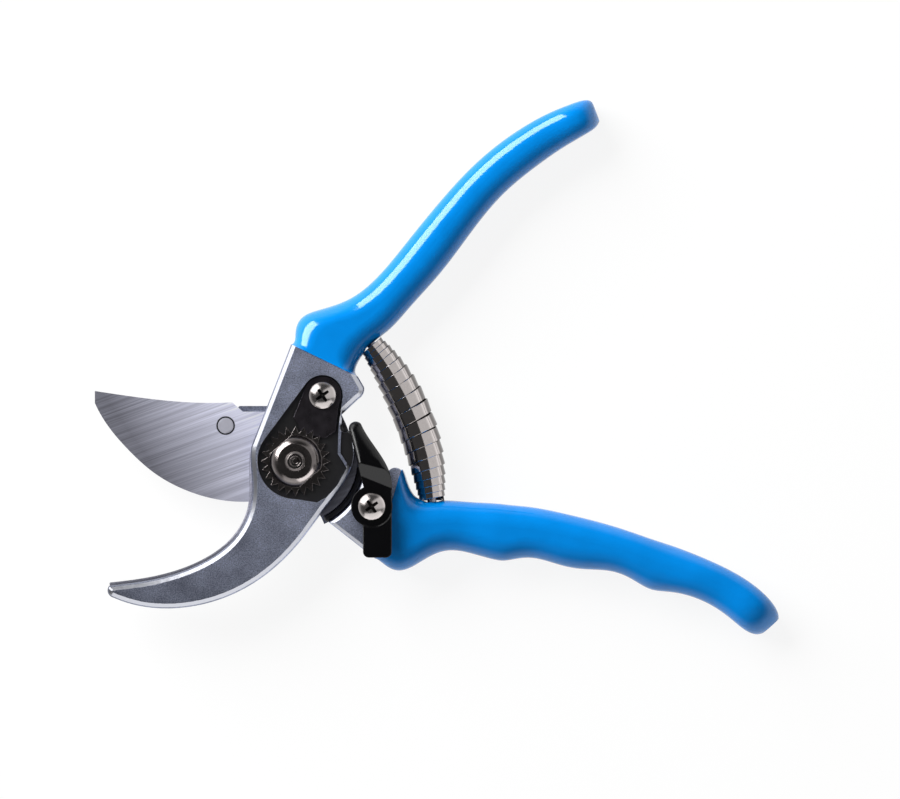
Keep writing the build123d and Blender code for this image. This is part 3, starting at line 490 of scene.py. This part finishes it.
class SHEARS_OT_pivot(bpy.types.Operator):
    """Dress the bolt, toothed nut and lock plate, and the bush and washer under them."""

    bl_idname = "shears.pivot"
    bl_label = "Pivot"

    def execute(self, context):
        finish = context.scene.shears_finish
        dress(blackened_steel("black_nickel_steel", finish.black_nickel, roughness=(0.14, 0.26)),
              "pivot_bolt", "toothed_nut")
        dress(blackened_steel("black_oxide_steel", finish.black_oxide, roughness=(0.22, 0.36)), "lock_plate")
        soften(0.2 * MM, "toothed_nut")
        soften(0.8 * MM, "lock_plate")
        dress(plated_metal("sintered_bronze", finish.bronze, roughness=(0.35, 0.5)), "pivot_bush")
        dress(moulded_plastic("moulded_acetal", finish.acetal, roughness=(0.35, 0.5),
                              edge=0.2 * MM, pad_edge=0.2 * MM), "friction_washer")
        return {"FINISHED"}


class SHEARS_OT_screws(bpy.types.Operator):
    """Dress the two cross-head screws."""

    bl_idname = "shears.screws"
    bl_label = "Screws"

    def execute(self, context):
        finish = context.scene.shears_finish
        dress(plated_metal("nickel_plated_screw", finish.nickel, roughness=(0.16, 0.26)),
              "lock_plate_screw", "catch_screw")
        return {"FINISHED"}


class SHEARS_OT_catch(bpy.types.Operator):
    """Dress the thumb catch."""

    bl_idname = "shears.catch"
    bl_label = "Thumb Catch"

    def execute(self, context):
        finish = context.scene.shears_finish
        dress(moulded_plastic("moulded_nylon", finish.nylon, roughness=(0.12, 0.2),
                              edge=0.5 * MM, pad_edge=2.4 * MM), "thumb_catch")
        return {"FINISHED"}


class SHEARS_OT_bumper(bpy.types.Operator):
    """Mould the rubber bead that ends the closing stroke."""

    bl_idname = "shears.bumper"
    bl_label = "Rubber Bumper"

    # The bead curves round the pivot, between the blade's tail and the wall of the lower handle
    inner_radius = 18.6 * MM
    outer_radius = 20.6 * MM
    first = -64
    last = -4
    corner = 0.7 * MM
    nose = 1.0 * MM
    nose_share = 0.4
    corner_steps = 5
    steps = 60

    def execute(self, context):
        low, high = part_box("rubber_bumper")
        middle = (self.inner_radius + self.outer_radius) / 2
        half_width = (self.outer_radius - self.inner_radius) / 2
        half_height = (high.z - low.z) / 2
        outline = []
        for side, face, start in ((1, 1, 0), (-1, 1, 90), (-1, -1, 180), (1, -1, 270)):
            for step in range(self.corner_steps + 1):
                heading = math.radians(start + 90 * step / self.corner_steps)
                outline.append((side * (half_width - self.corner) + self.corner * math.cos(heading),
                                face * (half_height - self.corner) + self.corner * math.sin(heading)))
        length = middle * math.radians(self.last - self.first)
        rings = []
        for step in range(self.steps + 1):
            share = 0.5 - 0.5 * math.cos(math.pi * step / self.steps)
            heading = math.radians(self.first + (self.last - self.first) * share)
            # The bead's ends round off over the length of its nose, down to a share of the section
            to_end = min(1, length * min(share, 1 - share) / self.nose)
            swell = self.nose_share + (1 - self.nose_share) * math.sqrt(1 - (1 - to_end) ** 2)
            out = Vector((math.cos(heading), math.sin(heading), 0))
            rings.append([out * (middle + across * swell) + Vector((0, 0, low.z + half_height + up * swell))
                          for across, up in outline])
        rubber = moulded_plastic("moulded_rubber", context.scene.shears_finish.rubber, roughness=(0.4, 0.55),
                                 edge=0.2 * MM, pad_edge=0.2 * MM)
        piece = swept_piece(context.scene, "bumper_bead", rings, rubber, sharp_angle=40)
        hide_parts("rubber_bumper")
        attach(piece, "lower")
        return {"FINISHED"}


class SHEARS_OT_spring(bpy.types.Operator):
    """Wind the strip spring between the handles."""

    bl_idname = "shears.spring"
    bl_label = "Strip Spring"

    # Axis of the spring, an arc through three points, as in the CAD
    top = Vector((23.2, 34.2, 8.0)) * MM
    middle = Vector((35.2, 13.2, 8.0)) * MM
    foot = Vector((40.8, -11.3, 8.0)) * MM
    end_margin = 1.0 * MM
    steps_per_turn = 40
    crowding = 0.48
    barrel = 0.8
    lean = 0.08
    edge_round = 0.11 * MM

    def arc(self):
        """Centre and radius of the axis, and the headings of its two ends."""
        a, b, c = self.top.xy, self.middle.xy, self.foot.xy
        d = 2 * (a.x * (b.y - c.y) + b.x * (c.y - a.y) + c.x * (a.y - b.y))
        aa, bb, cc = a.length_squared, b.length_squared, c.length_squared
        centre = Vector(((aa * (b.y - c.y) + bb * (c.y - a.y) + cc * (a.y - b.y)) / d,
                         (aa * (c.x - b.x) + bb * (a.x - c.x) + cc * (b.x - a.x)) / d))
        first, last = a - centre, c - centre
        return centre, first.length, math.atan2(first.y, first.x), math.atan2(last.y, last.x)

    def execute(self, context):
        spring = context.scene.shears_spring
        centre, arc_radius, first, last = self.arc()
        length = arc_radius * abs(last - first)
        half_width = spring.strip_width / 2
        half_thick = spring.strip_thickness / 2
        inset = (half_width - self.end_margin) / length
        # Two points round each corner of the strip: its side and face, and the shifts that cut it off
        section = [(-1, -1, 1, 0), (-1, -1, 0, 1), (-1, 1, 0, -1), (-1, 1, 1, 0),
                   (1, 1, -1, 0), (1, 1, 0, -1), (1, -1, 0, 1), (1, -1, -1, 0)]
        rings = []
        steps = spring.turns * self.steps_per_turn
        for step in range(steps + 1):
            share = step / steps
            turn = spring.turns * share
            # Turns lie closer together towards the ends
            packed = share - self.crowding * math.sin(2 * math.pi * share) / (2 * math.pi)
            at = inset + packed * (1 - 2 * inset)
            heading = first + (last - first) * at
            outward = Vector((math.cos(heading), math.sin(heading), 0))
            along = Vector((-outward.y, outward.x, 0)) * math.copysign(1, last - first)
            base = Vector((centre.x, centre.y, self.top.z)) + outward * arc_radius
            radius = (spring.end_radius + (spring.middle_radius - spring.end_radius)
                      * math.sin(math.pi * at) ** self.barrel) - half_thick
            way = outward * math.cos(2 * math.pi * turn) + Vector((0, 0, math.sin(2 * math.pi * turn)))
            # Each band leans in towards the middle, so that its outer edge shows as a step
            slope = self.lean * max(-1, min(1, spring.turns - 2 * turn))
            ring = []
            for side, face, shift_side, shift_face in section:
                x = side * half_width + shift_side * self.edge_round
                r = face * half_thick + shift_face * self.edge_round
                ring.append(base + along * x + way * (radius + r - slope * x))
            rings.append(ring)
        nickel = rolled_strip(context.scene.shears_finish)
        piece = swept_piece(context.scene, "strip_spring", rings, nickel, sharp_angle=30)
        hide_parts("main_spring")
        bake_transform(piece)
        return {"FINISHED"}


class SHEARS_OT_stage(bpy.types.Operator):
    """Set the camera, the floor, the lamps and the studio around them."""

    bl_idname = "shears.stage"
    bl_label = "Stage"

    view_centre = Vector((46.3, 18.45, 12.0)) * MM
    lamp_target = Vector((20.0, 0.0, 10.0)) * MM
    floor_half = 4.0
    floor_drop = 0.1 * MM
    shadow_share = 0.1
    grips = ("upper_grip", "lower_grip")
    dark_metals = ("pivot_bolt", "toothed_nut", "lock_plate")
    handle_metals = ("upper_handle", "lower_handle", "counter_blade")
    blades = ("cutting_blade", "blade_rivet")
    horizon_rise = 0.05
    zenith_rise = 0.45

    def add_camera(self, scene):
        """A camera straight above the part, as wide as the view."""
        stage = scene.shears_stage
        camera = bpy.data.cameras.new("photo_camera")
        camera.sensor_width = 36.0
        camera.lens = camera.sensor_width * stage.camera_height / stage.view_width
        camera.clip_end = 20.0
        eye = bpy.data.objects.new("photo_camera", camera)
        scene.collection.objects.link(eye)
        eye.location = self.view_centre + Vector((0, 0, stage.camera_height))
        scene.camera = eye

    def add_floor(self, scene):
        """A sheet of white paper that shows as plain white, with a share of the part's shadow."""
        colour = rgba(scene.shears_stage.floor)
        half = self.floor_half
        corners = [(-half, -half), (half, -half), (half, half), (-half, half)]
        mesh = bpy.data.meshes.new("floor")
        mesh.from_pydata([(x, y, -self.floor_drop) for x, y in corners], [], [(0, 1, 2, 3)])
        floor = bpy.data.objects.new("floor", mesh)
        scene.collection.objects.link(floor)
        material, tree = empty_material("white_paper")
        path = add_node(tree, "ShaderNodeLightPath").outputs
        seen = add_node(tree, "ShaderNodeMath", {0: path["Is Camera Ray"], 1: path["Is Glossy Ray"]},
                        operation="MAXIMUM")
        seen = add_node(tree, "ShaderNodeMath", {0: seen.outputs[0], 1: path["Is Transmission Ray"]},
                        operation="MAXIMUM")
        share = add_node(tree, "ShaderNodeMath", {0: seen.outputs[0], 1: 1 - self.shadow_share},
                         operation="MULTIPLY")
        paper = add_node(tree, "ShaderNodeBsdfDiffuse", {"Color": colour})
        glow = add_node(tree, "ShaderNodeEmission", {"Color": colour, "Strength": 1.0})
        mixed = add_node(tree, "ShaderNodeMixShader", {0: share.outputs[0], 1: paper.outputs[0],
                                                       2: glow.outputs[0]})
        add_node(tree, "ShaderNodeOutputMaterial", {"Surface": mixed.outputs[0]})
        mesh.materials.append(material)

    def add_panel(self, scene, name, heading, height, distance, size, radiance, pieces):
        """A rectangular soft lamp for some pieces, facing them from a heading and a height in degrees."""
        lamp = bpy.data.lights.new(name, "AREA")
        lamp.shape = "RECTANGLE"
        lamp.size, lamp.size_y = size
        lamp.energy = radiance * math.pi * size[0] * size[1]
        panel = bpy.data.objects.new(name, lamp)
        scene.collection.objects.link(panel)
        turn, rise = math.radians(heading), math.radians(height)
        way = Vector((math.cos(turn) * math.cos(rise), math.sin(turn) * math.cos(rise), math.sin(rise)))
        panel.location = self.lamp_target + way * distance
        panel.rotation_euler = way.to_track_quat("Z", "Y").to_euler()
        panel.visible_camera = False
        panel.light_linking.receiver_collection = bpy.data.collections.new(name)
        for piece in pieces:
            panel.light_linking.receiver_collection.objects.link(piece)
        return panel

    def add_lamps(self, scene):
        """The panels, each for the pieces that it lights."""
        stage = scene.shears_stage
        # A strong key draws the streaks on the grips and the nut. Pale metal and the catch, which would
        # mirror it as plain white from the side, have softer panels of their own. The blade has one more
        # overhead, the catch a strip and the dark metals a rim panel.
        pieces = {piece.name: piece for piece in scene.objects if piece.type == "MESH"}
        strong = self.grips + self.dark_metals + ("floor",)
        soft = [name for name in pieces if name not in strong + self.blades]
        filled = [name for name in pieces if name not in self.grips + ("floor",)]
        for name, heading, height, distance, size, radiance, lit in (
                ("key_panel", 138, 30, 1.9, (1.6, 1.25), stage.key_radiance, strong),
                ("soft_key", 138, 30, 1.9, (1.6, 1.25), stage.soft_radiance, soft),
                ("top_panel", 138, 60, 1.9, (1.2, 1.0), stage.top_radiance, self.handle_metals + self.blades),
                ("blade_panel", 138, 82, 1.9, (1.2, 1.0), stage.blade_radiance, self.blades),
                ("left_strip", 178, 30, 1.9, (0.6, 0.7), stage.strip_radiance, ("thumb_catch",)),
                ("rim_panel", -55, 28, 1.2, (1.2, 0.6), stage.rim_radiance, self.dark_metals),
                ("front_fill", -80, 28, 1.2, (2.4, 0.87), stage.fill_radiance, filled),
                ("side_panel", 20, 41.5, 0.8, (0.9, 1.18), stage.side_radiance, filled)):
            self.add_panel(scene, name, heading, height, distance, size, radiance,
                           [pieces[piece] for piece in lit])
        grip_fill = self.add_panel(scene, "grip_fill", -60, 40, 1.2, (2.0, 1.2), stage.grip_radiance,
                                   [pieces[name] for name in self.grips])
        grip_fill.visible_glossy = False

    def add_studio(self, scene):
        """A world that is bright at the horizon and dark overhead."""
        stage = scene.shears_stage
        world = bpy.data.worlds.new("studio")
        world.use_nodes = True
        tree = world.node_tree
        tree.nodes.clear()
        way = add_node(tree, "ShaderNodeTexCoord").outputs["Generated"]
        rise = add_node(tree, "ShaderNodeSeparateXYZ", {0: way}).outputs["Z"]
        level = add_node(tree, "ShaderNodeMapRange", {
            "Value": rise, "From Min": self.horizon_rise, "From Max": self.zenith_rise,
            "To Min": stage.horizon, "To Max": stage.zenith}, interpolation_type="SMOOTHSTEP")
        sky = add_node(tree, "ShaderNodeBackground", {"Color": rgba((1.0, 1.0, 1.0)),
                                                      "Strength": level.outputs[0]})
        add_node(tree, "ShaderNodeOutputWorld", {"Surface": sky.outputs[0]})
        scene.world = world

    def execute(self, context):
        scene = context.scene
        scene.view_settings.view_transform = "Standard"
        self.add_camera(scene)
        self.add_floor(scene)
        self.add_lamps(scene)
        self.add_studio(scene)
        return {"FINISHED"}


PIECES = (SHEARS_OT_forgings, SHEARS_OT_grips, SHEARS_OT_blades, SHEARS_OT_pivot, SHEARS_OT_screws,
          SHEARS_OT_catch, SHEARS_OT_bumper, SHEARS_OT_spring, SHEARS_OT_stage)
SETTINGS = {"shears_finish": ShearsFinish, "shears_spring": ShearsSpring, "shears_stage": ShearsStage}


class SHEARS_PT_sidebar(bpy.types.Panel):
    """Lists the pieces and their settings."""

    bl_idname = "SHEARS_PT_sidebar"
    bl_label = "Pruning Shears"
    bl_space_type = "VIEW_3D"
    bl_region_type = "UI"
    bl_category = "Shears"

    def draw(self, context):
        for name in SETTINGS:
            settings = getattr(context.scene, name)
            box = self.layout.box()
            for key in settings.bl_rna.properties.keys():
                if key not in {"rna_type", "name"}:
                    box.prop(settings, key)
        for piece in PIECES:
            self.layout.operator(piece.bl_idname)


CLASSES = (*SETTINGS.values(), *PIECES, SHEARS_PT_sidebar)


def register():
    for kind in CLASSES:
        bpy.utils.register_class(kind)
    for name, kind in SETTINGS.items():
        setattr(bpy.types.Scene, name, PointerProperty(type=kind))


def unregister():
    for name in SETTINGS:
        delattr(bpy.types.Scene, name)
    for kind in reversed(CLASSES):
        bpy.utils.unregister_class(kind)


def main():
    register()
    bpy.ops.shears.forgings()
    bpy.ops.shears.grips()
    bpy.ops.shears.blades()
    bpy.ops.shears.pivot()
    bpy.ops.shears.screws()
    bpy.ops.shears.catch()
    bpy.ops.shears.bumper()
    bpy.ops.shears.spring()
    bpy.ops.shears.stage()


if __name__ == "__main__":
    main()
